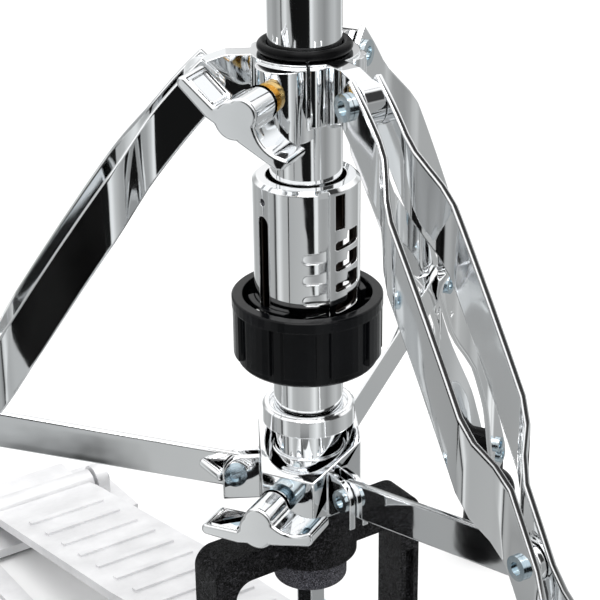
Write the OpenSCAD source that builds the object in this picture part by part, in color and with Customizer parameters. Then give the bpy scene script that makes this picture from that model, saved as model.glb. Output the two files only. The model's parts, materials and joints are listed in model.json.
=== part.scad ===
// Lower stand of a hi-hat: tripod base, pedal, tension sleeve, height tube and clutch.
// +Z is up along the tube, the floor is z = 0, the player sits towards -Y.

/* [Tubes and rod] */
// Outer diameter of the lower tube
tube_d = 28.6; // [26:0.1:30]
// Wall of the lower tube
tube_wall = 1.6; // [1.2:0.1:2]
// Height of the top of the lower tube
tube_top = 600; // [560:5:640]
// Outer diameter of the height tube
upper_tube_d = 22.2; // [21:0.1:23]
// Height of the top of the height tube
upper_tube_top = 770; // [720:5:770]
// Diameter of the lower pull rod
rod_d = 8; // [7:0.5:9]
// Height of the top of the upper rod
rod_top = 985; // [980:5:1010]

/* [Tripod] */
// Distance of each leg pivot from the tube axis
leg_pivot_r = 38; // [37:0.5:40]
// Height of the leg pivots
leg_pivot_z = 340; // [335:1:345]
// Distance of each foot from the tube axis
foot_r = 223; // [215:1:230]
// Width of a leg strip
strip_w = 17; // [15:0.5:18]
// Thickness of a leg strip
strip_t = 3; // [2.5:0.1:3.2]
// Half the spacing of the two strips where they run parallel
strip_spread = 14.2; // [12:0.2:16]
// Height of a brace strip
brace_w = 15.4; // [13:0.2:16]
// Distance of each brace pivot from the tube axis
brace_pivot_r = 31; // [30.5:0.5:32]
// Height of the brace pivots
brace_pivot_z = 170; // [168:0.5:172]

/* [Spring tension] */
// Outer radius of the notched sleeve
sleeve_r = 21.2; // [20.8:0.1:21.6]
// Height of the top of the notched sleeve
sleeve_top = 301; // [299:1:304]
// Outer radius of the tension ring
ring_r = 30.5; // [29:0.1:32]
// Height of the tension ring
ring_h = 29; // [27:0.5:30]
// Height of the top of the tension ring
ring_top = 250.5; // [249:0.5:252]
// Spacing of the notches
notch_pitch = 8.8; // [8.4:0.1:9.2]

/* [Yoke and pedal] */
// Outer half width of the yoke
yoke_half = 52; // [50:0.5:56]
// Height of the top of the yoke's beam
yoke_top = 144; // [142:0.5:146]
// Depth of the yoke from front to back
yoke_depth = 17; // [15:0.5:20]
// Slope of the footboard at rest in degrees
board_slope = 10.5; // [10.4:0.1:10.6]
// Distance from the heel hinge to the toe pin
board_reach = 280; // [278:1:282]

/* [Hidden] */

$fn = 64;
fit = 0.05; // radial gap of a running fit
tube_r = tube_d / 2;
tube_bore = tube_r - tube_wall;
tube_bottom = 131;
leg_azimuths = [90, 210, 330]; // leg a points away from the player
clamp_azimuth = 30; // direction that the wing bolts face

// Leg centre line: a cubic curve in the plane of radius and height
foot_joint = [foot_r - 7, 66];
leg_p0 = [leg_pivot_r, leg_pivot_z];
leg_p1 = leg_p0 + [42, -40];
leg_p2 = foot_joint + [-26, 56];
function leg_point(t) =
    pow(1 - t, 3) * leg_p0 + 3 * t * pow(1 - t, 2) * leg_p1
    + 3 * t * t * (1 - t) * leg_p2 + pow(t, 3) * foot_joint;
function leg_slope(t) =
    3 * pow(1 - t, 2) * (leg_p1 - leg_p0) + 6 * t * (1 - t) * (leg_p2 - leg_p1)
    + 3 * t * t * (foot_joint - leg_p2);
function unit(v) = v / norm(v);
function left_of(v) = [-v[1], v[0]];
brace_at = 0.535; // place of the brace joint along the leg curve
brace_joint = leg_point(brace_at);
brace_pivot = [brace_pivot_r, brace_pivot_z];

// Half spacing of the strips along the leg: narrow, flared, pinched, flared, narrow
ear_gap = 6;
pinch_gap = 3.5;
knee_spread = 10.5;
function ease(a, b, t) = let (u = min(1, max(0, (t - a) / (b - a)))) u * u * (3 - 2 * u);
function strip_offset(t) =
    ear_gap + (strip_spread - ear_gap) * ease(0.13, 0.23, t)
    - (strip_spread - pinch_gap) * ease(0.43, 0.5, t)
    + (knee_spread - pinch_gap) * ease(0.575, 0.66, t)
    + (ear_gap - knee_spread) * ease(0.72, 0.9, t);
leg_steps = [for (i = [0:40]) i / 40];

pivot_pin_r = 3.2;
rivet_r = 3;
rivet_head_r = 4.8;
brace_t = 3;

// Pedal geometry
link_length = 30;
toe_pin = [0, -2.7, 68];
heel = toe_pin + board_reach * [0, -cos(board_slope), -sin(board_slope)];
coupler_pin_z = toe_pin[2] + sqrt(link_length * link_length - toe_pin[1] * toe_pin[1]);

ring_bottom = ring_top - ring_h;
ring_pin_z = 247;
slot_azimuth = 3;
channel_azimuth = 75;
groove_half = 2.1;
swivel_z = 168.5;
leg_wing_z = 341;

// ---- helpers ----

module ring_solid(outer, inner, z0, z1) {
    translate([0, 0, z0]) difference() {
        cylinder(r = outer, h = z1 - z0);
        translate([0, 0, -1]) cylinder(r = inner, h = z1 - z0 + 2);
    }
}

// Cylinder along local Y, centred at a point of the leg plane
module cross_cylinder(at, r, length) {
    translate([at[0], 0, at[1]]) rotate([90, 0, 0]) cylinder(r = r, h = length, center = true);
}

// Outline in the leg plane, made thick about the plane
module side_plate(thickness) {
    translate([0, thickness / 2, 0]) rotate([90, 0, 0]) linear_extrude(thickness) children();
}

// Cylinder along local X from radius a to radius b
module radial_cylinder(r, a, b, z) {
    translate([a, 0, z]) rotate([0, 90, 0]) cylinder(r = r, h = b - a);
}

module rivet(at, shank_r, head_r, half_grip, head_t) {
    cross_cylinder(at, shank_r, 2 * half_grip + 0.2);
    for (side = [-1, 1])
        translate([0, side * (half_grip + head_t / 2), 0]) difference() {
            cross_cylinder(at, head_r, head_t);
            // Dished end
            translate([0, side * head_t / 2, 0]) cross_cylinder(at, head_r * 0.52, 2 * head_t - 0.6);
        }
}

// ---- base ----

yoke_arm_w = 9.5;
yoke_beam_h = 13;
yoke_shoulder = 8;
yoke_foot_z = 3;

module yoke_outline() {
    // Inverted U with round shoulders
    half = yoke_half;
    inner = half - yoke_arm_w;
    inner_top = yoke_top - yoke_beam_h;
    difference() {
        union() {
            translate([-half, yoke_foot_z]) square([2 * half, yoke_top - yoke_shoulder - yoke_foot_z]);
            translate([-half + yoke_shoulder, yoke_foot_z])
                square([2 * (half - yoke_shoulder), yoke_top - yoke_foot_z]);
            for (side = [-1, 1])
                translate([side * (half - yoke_shoulder), yoke_top - yoke_shoulder])
                    circle(r = yoke_shoulder);
        }
        translate([-inner, yoke_foot_z - 1]) square([2 * inner, inner_top - 8 - yoke_foot_z + 1]);
        translate([-inner + 8, yoke_foot_z]) square([2 * (inner - 8), inner_top - yoke_foot_z]);
        for (side = [-1, 1]) translate([side * (inner - 8), inner_top - 8]) circle(r = 8);
    }
}

module yoke() color([0.09, 0.09, 0.1]) difference() {
    union() {
        side_plate(yoke_depth) yoke_outline();
        translate([0, 0, tube_bottom]) cylinder(r = 20, h = swivel_bottom - 1 - tube_bottom);
        for (side = [-1, 1]) translate([side * (yoke_half - 7), 0, yoke_foot_z])
            translate([-9, -14, 0]) cube([18, 28, 9]);
    }
    translate([0, 0, tube_bottom + 3]) cylinder(r = tube_r, h = 40);
    translate([0, 0, tube_bottom - 5]) cylinder(r = 9, h = 20);
    // Channel down the front of each arm
    for (side = [-1, 1], face = [-1, 1])
        translate([side * (yoke_half - yoke_arm_w / 2), face * yoke_depth / 2, 14 + 50])
            cube([4, 4, 104], center = true);
    for (side = [-1, 1])
        translate([side * (yoke_half - 7), -11, yoke_foot_z - 1]) cylinder(r = 2.5, h = 11);
}

// Flat steel bar under both feet of the yoke
module cross_plate() color([0.75, 0.76, 0.78])
    translate([-yoke_half - 2, -3, 0]) cube([2 * yoke_half + 4, 17, yoke_foot_z]);

rail_x = yoke_half - 7;
heel_front_y = heel[1] + 24;
heel_depth = 56;
heel_half = 51;
board_half = 31;
lug_x = 38;

module base_rails() color([0.75, 0.76, 0.78])
    for (side = [-1, 1]) {
        translate([side * rail_x - 6, heel_front_y - 16, 0]) cube([12, -5 - heel_front_y + 16, yoke_foot_z]);
        translate([side * rail_x, -11, yoke_foot_z - 0.5]) cylinder(r = 2.45, h = 9);
    }

module heel_plate() color([0.8, 0.8, 0.82]) difference() {
    union() {
        translate([-heel_half, heel_front_y - heel_depth, yoke_foot_z]) cube([2 * heel_half, heel_depth, 5]);
        // Raised heel rest behind the hinge
        translate([-board_half, heel_front_y - heel_depth, yoke_foot_z]) cube([2 * board_half, 23, 12]);
        for (side = [-1, 1]) translate([side * lug_x, 0, 0]) hinge_lug();
    }
    translate([0, heel[1], heel[2]]) rotate([0, 90, 0]) cylinder(r = 4, h = 140, center = true);
}

module hinge_lug() translate([-3.5, 0, 0]) rotate([90, 0, 90]) linear_extrude(7) {
    translate([heel[1], heel[2]]) circle(r = 9);
    translate([heel[1] - 9, yoke_foot_z]) square([18, heel[2] - yoke_foot_z]);
}

module heel_pad() color([0.06, 0.06, 0.06])
    translate([-board_half - 3, heel_front_y - heel_depth, 0])
        cube([2 * board_half + 6, heel_depth - 4, yoke_foot_z]);

module heel_pin() color([0.75, 0.76, 0.78])
    translate([-lug_x - 6, heel[1], heel[2]]) rotate([0, 90, 0]) cylinder(r = 4, h = 2 * lug_x + 12);

module pin_slots(z0, z1, width) {
    // Two opposite slots with round ends for the cross pins
    rotate(slot_azimuth) for (turn = [0, 180]) rotate(turn) {
        translate([0, -width / 2, z0]) cube([40, width, z1 - z0]);
        for (z = [z0, z1]) radial_cylinder(width / 2, 0, 40, z);
    }
}

module lower_tube() color([0.82, 0.83, 0.85]) difference() {
    ring_solid(tube_r, tube_bore, tube_bottom + 3, tube_top);
    pin_slots(ring_pin_z - 6, slot_top + 0.5, slot_w + 1);
}

// ---- spring tension ----

sleeve_bottom = 228;
sleeve_wall = 2.2;
pocket_depth = 1.3;
slot_top = 285;
slot_w = 6.4;

// Shallow front pocket, rounded at its left end and square at its right end
module front_pocket(z) {
    rotate(66) translate([sleeve_r - pocket_depth, 0, z]) rotate([90, 0, 90]) linear_extrude(8) {
        translate([-3.4, -0.2]) circle(r = 1.9, $fn = 32);
        polygon([[-3.4, -2.1], [-3.4, 1.7], [5.4, 2.7], [5.4, -1.9]]);
    }
}

// Stepped hole through the side of the sleeve
module side_notch(z) {
    rotate(106) translate([12, 0, z]) rotate([90, 0, 90]) linear_extrude(16)
        polygon([[-6.6, -2.4], [-6.6, 0], [-5.6, 0.8], [-1, 1.2], [-0.4, 4.2], [6, 4.2],
            [7, 3], [7, -1.4], [6, -2.2], [-1, -2.6], [-5.6, -3]]);
}

module tension_sleeve() color([0.82, 0.83, 0.85]) difference() {
    union() {
        ring_solid(sleeve_r, sleeve_r - sleeve_wall, sleeve_bottom, sleeve_top - 1.6);
        // Bevelled rim that turns in to the tube
        translate([0, 0, sleeve_top - 1.6]) cylinder(r1 = sleeve_r, r2 = sleeve_r - 1.6, h = 1.6);
        ring_solid(sleeve_r - 1, tube_r, sleeve_bottom, sleeve_bottom + 5);
    }
    translate([0, 0, sleeve_top - 5]) cylinder(r = sleeve_r - sleeve_wall - 3.1, h = 6);
    pin_slots(ring_pin_z - 6, slot_top, slot_w);
    // Shallow groove that joins the front pockets and runs out at the top
    rotate(channel_azimuth) translate([sleeve_r - 0.9, -groove_half, ring_pin_z - 2])
        cube([5, 2 * groove_half, sleeve_top]);
    // Straight slot above the side notches
    rotate(94.5) translate([15, -2.4, slot_top - 1]) cube([10, 4.8, sleeve_top - slot_top - 1.6]);
    for (i = [0:3]) {
        front_pocket(ring_pin_z + i * notch_pitch);
        side_notch(ring_pin_z + 5 + i * notch_pitch);
    }
    rotate(slot_azimuth) radial_cylinder(1.6, 14, 30, 294);
}

module sleeve_screw() color([0.25, 0.25, 0.27])
    rotate(slot_azimuth) radial_cylinder(1.55, tube_r + 0.05, sleeve_r - 0.8, 294);

module felt_bush() color([0.2, 0.2, 0.21]) ring_solid(15.8, 6.2, 118, tube_bottom);

module stop_ring() color([0.82, 0.83, 0.85]) difference() {
    union() {
        translate([0, 0, 193.5]) cylinder(r = 19, h = 7.2);
        translate([0, 0, 200.7]) cylinder(r1 = 19, r2 = 18, h = 1);
    }
    translate([0, 0, 190]) cylinder(r = tube_r, h = 20);
    translate([0, 0, 199.5]) cylinder(r = 16.2, h = 5);
}

// ---- height clamp ----

clamp_z = tube_top - 30;
clamp_bolt_r = 23.5;
clamp_boss_end = 17;

module height_clamp() color([0.82, 0.83, 0.85]) difference() {
    union() {
        translate([0, 0, clamp_z]) cylinder(r = 18.5, h = 36);
        translate([0, 0, clamp_z + 4]) rotate(clamp_azimuth) translate([8, -9, 0]) cube([20, 18, 28]);
        // Boss that keeps the wing screw clear of the clamp
        rotate(clamp_azimuth) translate([clamp_bolt_r, 8, clamp_z + 18]) rotate([-90, 0, 0])
            cylinder(r = 6.5, h = clamp_boss_end - 8);
    }
    translate([0, 0, clamp_z - 1]) cylinder(r = tube_r, h = 31);
    translate([0, 0, clamp_z + 20]) cylinder(r = upper_tube_d / 2 + 1.5, h = 20);
    // Clamp slit
    rotate(clamp_azimuth) translate([8, -0.8, clamp_z + 3.5]) cube([30, 1.6, 40]);
    rotate(clamp_azimuth) translate([clamp_bolt_r, 0, clamp_z + 18]) rotate([90, 0, 0])
        cylinder(r = 3 + fit, h = 60, center = true);
}

module clamp_bush() color([0.1, 0.1, 0.1]) difference() {
    union() {
        translate([0, 0, tube_top - 45]) cylinder(r = tube_bore, h = 45);
        translate([0, 0, tube_top]) cylinder(r = tube_bore - 0.1, h = 8);
    }
    translate([0, 0, tube_top - 50]) cylinder(r = upper_tube_d / 2 + fit, h = 70);
}

// ---- wing screws ----

wing_depth = 16;

// Top of the right wing dips and rises again to a lip at the end
function wing_dip(y) = -1.9 + 0.042 * pow(y - 14, 2);

module wing_outline() {
    // Seen along the bolt: low flat left wing, round belly, thick right wing
    circle(r = 6.4);
    translate([-1, -4.5]) circle(r = 7.6);
    polygon([[-23.6, -11.7], [-23.6, -6.9], [-9.5, -6.3], [-5, 0], [0, -10], [-9, -12]]);
    translate([-23.6, -9.3]) circle(r = 2.4, $fn = 24);
    polygon(concat([for (y = [3 : 2 : 23]) [y, wing_dip(y)]], [[24.4, 0.4], [24.6, -2.6], [23, -5],
        [6, -9], [0, -8]]));
}

// Wing casting around a bolt along local X; its back face is at distance a
module wing(a, z, turn) {
    translate([a, 0, z]) rotate([turn, 0, 0]) difference() {
        union() {
            rotate([90, 0, 90]) linear_extrude(wing_depth) wing_outline();
            translate([-3, 0, 0]) rotate([0, 90, 0]) cylinder(r = 5.6, h = 4);
        }
        translate([-4, 0, 0]) rotate([0, 90, 0]) cylinder(r = 3, h = 16);
        // Shallow panels in the wings
        translate([2.2, -22.8, -7.6]) cube([wing_depth - 4.4, 12.3, 3]);
    }
}

// Threaded shank: a core with a thread crest every turn
module shank(a, b, z, crest_r) {
    pitch = 1.25;
    radial_cylinder(crest_r - 0.45, a, b, z);
    for (i = [0 : floor((b - a) / pitch) - 1])
        radial_cylinder(crest_r, a + (i + 0.25) * pitch, a + (i + 0.75) * pitch, z);
}

// ---- lower collar: carries the braces and swivels on the tube ----

swivel_bottom = 157;
swivel_top = 190;
swivel_flat = 20.5;
swivel_front_z = 175;
swivel_inner_top = 181.4;
ear_t = 2.8;
ear_slot = brace_t + 0.6;

// Side of one ear: square below, round at the outer top corner
module ear_outline() {
    polygon([[18.8, 158.4], [36.3, 158.4], [36.3, 169.5], [35.7, 172.3], [34.2, 174.9], [32, 176.9],
        [29, 178.2], [18.8, 178.2]]);
}

module swivel_collar() color([0.82, 0.83, 0.85]) difference() {
    union() {
        difference() {
            translate([0, 0, swivel_bottom])
                cylinder(r = swivel_flat / cos(30), h = swivel_top - swivel_bottom, $fn = 6);
            translate([0, 0, swivel_bottom + 5]) cylinder(r = 18.2, h = 40);
            // The top slopes down to the front
            rotate(clamp_azimuth) translate([0, 40, 0]) rotate([90, 0, 0]) linear_extrude(80)
                polygon([[40, swivel_front_z], [swivel_flat, swivel_front_z], [-4, swivel_top],
                    [-4, swivel_top + 5], [40, swivel_top + 5]]);
        }
        // Inner sleeve around the tube, and the block that the bolt is screwed into
        ring_solid(tube_r + 1.1, tube_r, swivel_bottom, swivel_inner_top);
        rotate(clamp_azimuth) intersection() {
            translate([tube_r, -8, swivel_bottom]) cube([swivel_flat - tube_r - 0.5, 16, 17.5]);
            cylinder(r = 19.5, h = 400);
        }
        for (azimuth = leg_azimuths) rotate(azimuth) for (side = [-1, 1])
            translate([0, side * (ear_slot + ear_t) / 2, 0]) side_plate(ear_t) ear_outline();
    }
    translate([0, 0, swivel_bottom - 1]) cylinder(r = tube_r + fit, h = 30);
    for (azimuth = leg_azimuths) rotate(azimuth) cross_cylinder(brace_pivot, rivet_r, 30);
    rotate(clamp_azimuth) radial_cylinder(3.05, 10, 30, swivel_z);
}

module swivel_nut() color([0.55, 0.6, 0.66]) rotate(clamp_azimuth) difference() {
    radial_cylinder(6.2, swivel_flat, swivel_flat + 4.5, swivel_z);
    radial_cylinder(3.05, swivel_flat - 1, swivel_flat + 6, swivel_z);
}

module brace_rivets() color([0.55, 0.6, 0.66])
    for (azimuth = leg_azimuths) rotate(azimuth)
        rivet(brace_pivot, rivet_r, rivet_head_r, ear_slot / 2 + ear_t + 0.02, 1.6);

module swivel_wing() color([0.82, 0.83, 0.85]) rotate(clamp_azimuth) wing(31.5, swivel_z, 0);

module swivel_bolt() color([0.55, 0.6, 0.66]) rotate(clamp_azimuth)
    shank(tube_r + 0.3, 42, swivel_z, 3);

// ---- upper collar: carries the legs and slides on the tube ----

collar_bottom = 327;
collar_h = 24;
ear_half = ear_gap - strip_t / 2 - 0.3;
housing_drop = 5;

module leg_collar() color([0.82, 0.83, 0.85]) difference() {
    union() {
        translate([0, 0, collar_bottom]) cylinder(r = 21, h = collar_h);
        for (azimuth = leg_azimuths) rotate(azimuth) side_plate(2 * ear_half) {
            translate(leg_p0) circle(r = 8.6);
            polygon([[15, collar_bottom], [15, collar_bottom + collar_h], [30, collar_bottom + collar_h],
                leg_p0 + [5.2, 6.9], leg_p0 + [-2, -8.3], [24, collar_bottom]]);
        }
        // Housing of the wing screw, which reaches lower than the rest
        rotate(clamp_azimuth) translate([17.5, 0, collar_bottom - housing_drop])
            cylinder(r = 11, h = collar_h + housing_drop - 1);
        // Upright ribs beside the clamp slit
        for (azimuth = [53, 66, 127, 140, 246, 260, 280, 294])
            rotate(azimuth) translate([18.4, 0, collar_bottom + 0.5]) cylinder(r = 5, h = collar_h - 1.5);
    }
    translate([0, 0, collar_bottom - housing_drop - 1])
        cylinder(r = tube_r + fit, h = collar_h + housing_drop + 2);
    translate([0, 0, collar_bottom + collar_h - 2.4]) cylinder(r = 16.6, h = 5);
    for (azimuth = leg_azimuths) rotate(azimuth) cross_cylinder(leg_p0, pivot_pin_r, 30);
    rotate(59.5) translate([10, -0.6, collar_bottom - 1]) cube([30, 1.2, collar_h + 2]);
    rotate(clamp_azimuth) radial_cylinder(3.05, 10, 40, leg_wing_z);
}

cord_r = 2;

// Rubber ring that rests on the collar
module collar_ring() color([0.06, 0.06, 0.06]) translate([0, 0, collar_bottom + collar_h])
    rotate_extrude() translate([tube_r + fit + cord_r, cord_r]) circle(r = cord_r);

module brass_nut() color([0.8, 0.58, 0.2]) rotate(clamp_azimuth) difference() {
    union() {
        radial_cylinder(5.9, 28.6, 31.4, leg_wing_z);
        radial_cylinder(4.8, 31.4, 33, leg_wing_z);
    }
    radial_cylinder(3.05, 27, 36, leg_wing_z);
}

module leg_pivots() color([0.55, 0.6, 0.66])
    for (azimuth = leg_azimuths) rotate(azimuth)
        rivet(leg_p0, pivot_pin_r, 5.3, ear_gap + strip_t / 2 + 0.15, 1.8);

leg_wing_turn = -42;
module leg_wing() color([0.82, 0.83, 0.85]) rotate(clamp_azimuth) wing(36.4, leg_wing_z, leg_wing_turn);

module leg_wing_bolt() color([0.55, 0.6, 0.66]) rotate(clamp_azimuth)
    shank(tube_r + 0.3, 47, leg_wing_z, 3);

// ---- legs ----

module leg_side_outline() {
    // Constant-width strip along the leg curve, square at the top and rounded at the foot
    upper = [for (t = leg_steps) leg_point(t) + strip_w / 2 * left_of(unit(leg_slope(t)))];
    lower = [for (t = leg_steps) leg_point(1 - t) - strip_w / 2 * left_of(unit(leg_slope(1 - t)))];
    start = unit(leg_slope(0));
    head = 6.5;
    polygon(concat([leg_p0 - head * start + strip_w / 2 * left_of(start)], upper, lower,
        [leg_p0 - strip_w / 2 * left_of(start),
         leg_p0 - head * start - (strip_w / 2 - 4) * left_of(start)]));
    translate(foot_joint) circle(r = strip_w / 2);
}

module leg_plan_outline() {
    // Bent strip seen from above
    near = [for (t = leg_steps) [leg_point(t)[0], strip_offset(t) - strip_t / 2]];
    far = [for (t = leg_steps) [leg_point(1 - t)[0], strip_offset(1 - t) + strip_t / 2]];
    last = foot_joint[0] + 20;
    polygon(concat([[20, ear_gap - strip_t / 2]], near,
        [[last, ear_gap - strip_t / 2], [last, ear_gap + strip_t / 2]], far,
        [[20, ear_gap + strip_t / 2]]));
}

module leg_strips() color([0.82, 0.83, 0.85])
    for (side = [0, 1]) mirror([0, side, 0]) difference() {
        intersection() {
            translate([0, 30, 0]) rotate([90, 0, 0]) linear_extrude(30) leg_side_outline();
            linear_extrude(400) leg_plan_outline();
        }
        cross_cylinder(leg_p0, pivot_pin_r + fit, 60);
        cross_cylinder(brace_joint, rivet_r, 60);
        for (at = foot_rivet_places) cross_cylinder(at, rivet_r, 60);
        // Spare hole beside the brace rivet
        cross_cylinder(leg_point(brace_at + 0.05) + [-4.5, -1.5], 1.5, 60);
    }

foot_rivet_places = [leg_point(0.955), leg_point(1)];
foot_top = 50;

module foot() color([0.06, 0.06, 0.06]) difference() {
    union() {
        translate([foot_r, 0, 0]) {
            translate([0, 0, 3]) cylinder(r1 = 15, r2 = 13.6, h = foot_top - 14);
            cylinder(r1 = 13.5, r2 = 15, h = 3);
            translate([0, 0, foot_top - 11]) rotate_extrude() intersection() {
                scale([1, 0.95]) circle(r = 13.6);
                square(30);
            }
        }
        // Tongue that the strips are riveted to
        side_plate(2 * ear_half + 0.6) {
            translate(foot_joint) circle(r = 8);
            translate(leg_point(0.955)) circle(r = 7);
            translate([foot_r - 13, 30]) square([20, 34]);
        }
    }
    for (at = foot_rivet_places) cross_cylinder(at, rivet_r, 60);
}

module leg_rivets() color([0.55, 0.6, 0.66]) {
    rivet(brace_joint, rivet_r, rivet_head_r, pinch_gap + strip_t / 2 + 0.02, 1.6);
    for (at = foot_rivet_places) rivet(at, rivet_r, 4.2, ear_gap + strip_t / 2 + 0.02, 1.4);
}

// ---- braces ----

open_pivot_gap = 0.75; // radial clearance at the joint where the linkage is opened

module brace() color([0.82, 0.83, 0.85]) {
    run = brace_joint - brace_pivot;
    length = norm(run);
    difference() {
        translate([brace_pivot[0], 0, brace_pivot[1]])
            rotate([0, -atan2(run[1], run[0]), 0]) side_plate(brace_t) {
                translate([0, -brace_w / 2]) square([length, brace_w]);
                for (x = [0, length]) translate([x, 0]) circle(r = brace_w / 2);
            }
        cross_cylinder(brace_pivot, rivet_r + fit, 20);
        cross_cylinder(brace_joint, rivet_r + open_pivot_gap, 20);
    }
}

// ---- tension ring and spring ----

module spring_seat() color([0.75, 0.76, 0.78]) difference() {
    translate([0, 0, ring_pin_z - 5]) cylinder(r = tube_bore - 0.1, h = 14);
    translate([0, 0, ring_pin_z - 6]) cylinder(r = rod_d / 2 + 0.4, h = 20);
    rotate(slot_azimuth) translate([0, 0, ring_pin_z]) rotate([0, 90, 0])
        cylinder(r = 2.5, h = 60, center = true);
}

module cross_pins() color([0.82, 0.83, 0.85])
    rotate(slot_azimuth) for (turn = [0, 180]) rotate(turn)
        radial_cylinder(2.5, rod_d / 2 + 1.2, 24.6, ring_pin_z);

ring_wall = 4.3;
rib_count = 10;
ring_hub_r = sleeve_r + 2.6;
ring_hub_top = ring_top - 10;
lug_half = 0.9;
lug_reach = 0.5;
pin_window = 19;

module tension_ring() color([0.07, 0.07, 0.075]) difference() {
    union() {
        ring_solid(28.4, ring_r - ring_wall, ring_bottom + 1, ring_top);
        translate([0, 0, ring_bottom]) difference() {
            cylinder(r1 = 27.6, r2 = 28.4, h = 1);
            translate([0, 0, -1]) cylinder(r = ring_r - ring_wall, h = 3);
        }
        ring_solid(ring_r, ring_r - ring_wall, ring_top - 4.6, ring_top - 0.6);
        translate([0, 0, ring_top - 0.6]) difference() {
            cylinder(r1 = ring_r, r2 = ring_r - 0.6, h = 0.6);
            translate([0, 0, -1]) cylinder(r = ring_r - ring_wall, h = 3);
        }
        // Broad grip ribs
        for (i = [0 : rib_count - 1]) rotate(i * 360 / rib_count + 14) intersection() {
            ring_solid(ring_r - 0.3, 27, ring_bottom + 4, ring_top - 4);
            translate([0, -6.3, ring_bottom]) cube([40, 12.6, ring_h]);
        }
        // Hub that runs on the sleeve, and its webs
        ring_solid(ring_hub_r, sleeve_r + 0.3, ring_bottom, ring_hub_top);
        for (i = [0:5]) rotate(i * 60 + slot_azimuth + 30)
            translate([ring_hub_r - 0.8, -0.8, ring_bottom + 0.5]) cube([4, 1.6, ring_h - 5]);
        // Raised tabs around the cross pins
        rotate(slot_azimuth) for (turn = [0, 180]) rotate(turn) intersection() {
            ring_solid(ring_hub_r, sleeve_r + 0.3, ring_hub_top - 1, ring_pin_z + 3.4);
            translate([0, -12, ring_bottom]) cube([40, 24, ring_h]);
        }
        // Finger with the lug that works the front notches
        rotate(channel_azimuth) {
            translate([sleeve_r + 0.4, -1.3, ring_hub_top - 2])
                cube([2, 2.6, ring_pin_z + lug_half - ring_hub_top + 2]);
            translate([sleeve_r - lug_reach, -1.3, ring_pin_z - lug_half])
                cube([lug_reach + 1.2, 2.6, 2 * lug_half]);
        }
    }
    // Arc windows for the cross pins, which let the ring turn
    rotate(slot_azimuth) for (turn = [0, 180]) rotate(turn) {
        rotate(-pin_window) translate([0, 0, ring_pin_z - 2.6]) rotate_extrude(angle = 2 * pin_window)
            translate([10, 0]) square([15, 5.2]);
    }
}

spring_r = 9;
spring_wire = 0.95;
spring_turns = 9;
spring_z0 = ring_pin_z + 9.3;
spring_z1 = 349.6;

module tension_spring() color([0.6, 0.62, 0.64]) {
    pitch = (spring_z1 - spring_z0 - 2 * spring_wire) / (spring_turns + 1);
    for (i = [0 : spring_turns + 1])
        translate([0, 0, spring_z0 + spring_wire + i * pitch])
            rotate_extrude() translate([spring_r, 0]) circle(r = spring_wire, $fn = 16);
}

// ---- pull rod, link and footboard ----

rod_bottom = coupler_pin_z + 6.7;
rod_joint_z = 354;

module lower_rod() color([0.75, 0.76, 0.78]) {
    translate([0, 0, rod_bottom]) cylinder(r = rod_d / 2, h = rod_joint_z - rod_bottom);
    // Flange that the spring lifts
    translate([0, 0, rod_joint_z - 4]) cylinder(r = tube_bore - 0.2, h = 4);
}

module upper_rod() color([0.75, 0.76, 0.78]) {
    translate([0, 0, rod_joint_z]) cylinder(r = 5, h = 16);
    translate([0, 0, rod_joint_z]) cylinder(r = 3, h = rod_top - rod_joint_z - 1);
    translate([0, 0, rod_top - 1]) cylinder(r1 = 3, r2 = 2.2, h = 1);
}

module rod_coupler() color([0.82, 0.83, 0.85]) difference() {
    translate([0, 0, coupler_pin_z - 7]) cylinder(r = 6.6, h = 25, $fn = 6);
    translate([-2.6, -10, coupler_pin_z - 8]) cube([5.2, 20, 14.2]);
    translate([0, 0, rod_bottom]) cylinder(r = rod_d / 2, h = 20);
    translate([0, 0, coupler_pin_z]) rotate([0, 90, 0]) cylinder(r = 3, h = 40, center = true);
}

module coupler_pin() color([0.55, 0.6, 0.66])
    translate([-7.5, 0, coupler_pin_z]) rotate([0, 90, 0]) cylinder(r = 3, h = 15);

module drive_link() color([0.75, 0.76, 0.78]) {
    tilt = asin(-toe_pin[1] / link_length);
    difference() {
        translate([-2, 0, coupler_pin_z]) rotate([-tilt, 0, 0]) rotate([90, 0, 90]) linear_extrude(4) {
            circle(r = 5.6);
            translate([0, -link_length]) circle(r = 6.6);
            translate([-4, -link_length]) square([8, link_length]);
        }
        translate([0, 0, coupler_pin_z]) rotate([0, 90, 0]) cylinder(r = 3 + fit, h = 20, center = true);
        translate(toe_pin) rotate([0, 90, 0]) cylinder(r = 3 + open_pivot_gap, h = 20, center = true);
    }
}

board_t = 5;
board_end = 262;
barrel_r = 7.5;

// Frame of the footboard: origin at the heel hinge, local Y along the board
module board_frame() translate(heel) rotate([board_slope, 0, 0]) children();

module board_plan() {
    polygon([[-30, 5], [-31, 14], [-31, 150], [-27, 232], [-20, 266], [20, 266], [27, 232],
        [31, 150], [31, 14], [30, 5]]);
    translate([0, 266]) circle(r = 20);
}

module footboard() color([0.8, 0.8, 0.82]) difference() {
    board_frame() union() {
        translate([0, 0, -board_t / 2]) linear_extrude(board_t) board_plan();
        // Cross ridges for grip
        for (i = [0:9]) translate([-22, 36 + i * 20, 0]) cube([44, 4, board_t / 2 + 1.2]);
        translate([-board_half - 2, 0, 0]) rotate([0, 90, 0]) cylinder(r = barrel_r, h = 2 * board_half + 4);
    }
    translate(heel) rotate([0, 90, 0]) cylinder(r = 4 + fit, h = 120, center = true);
    board_frame() translate([-12, board_end, -30]) cube([24, 40, 60]);
}

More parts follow.
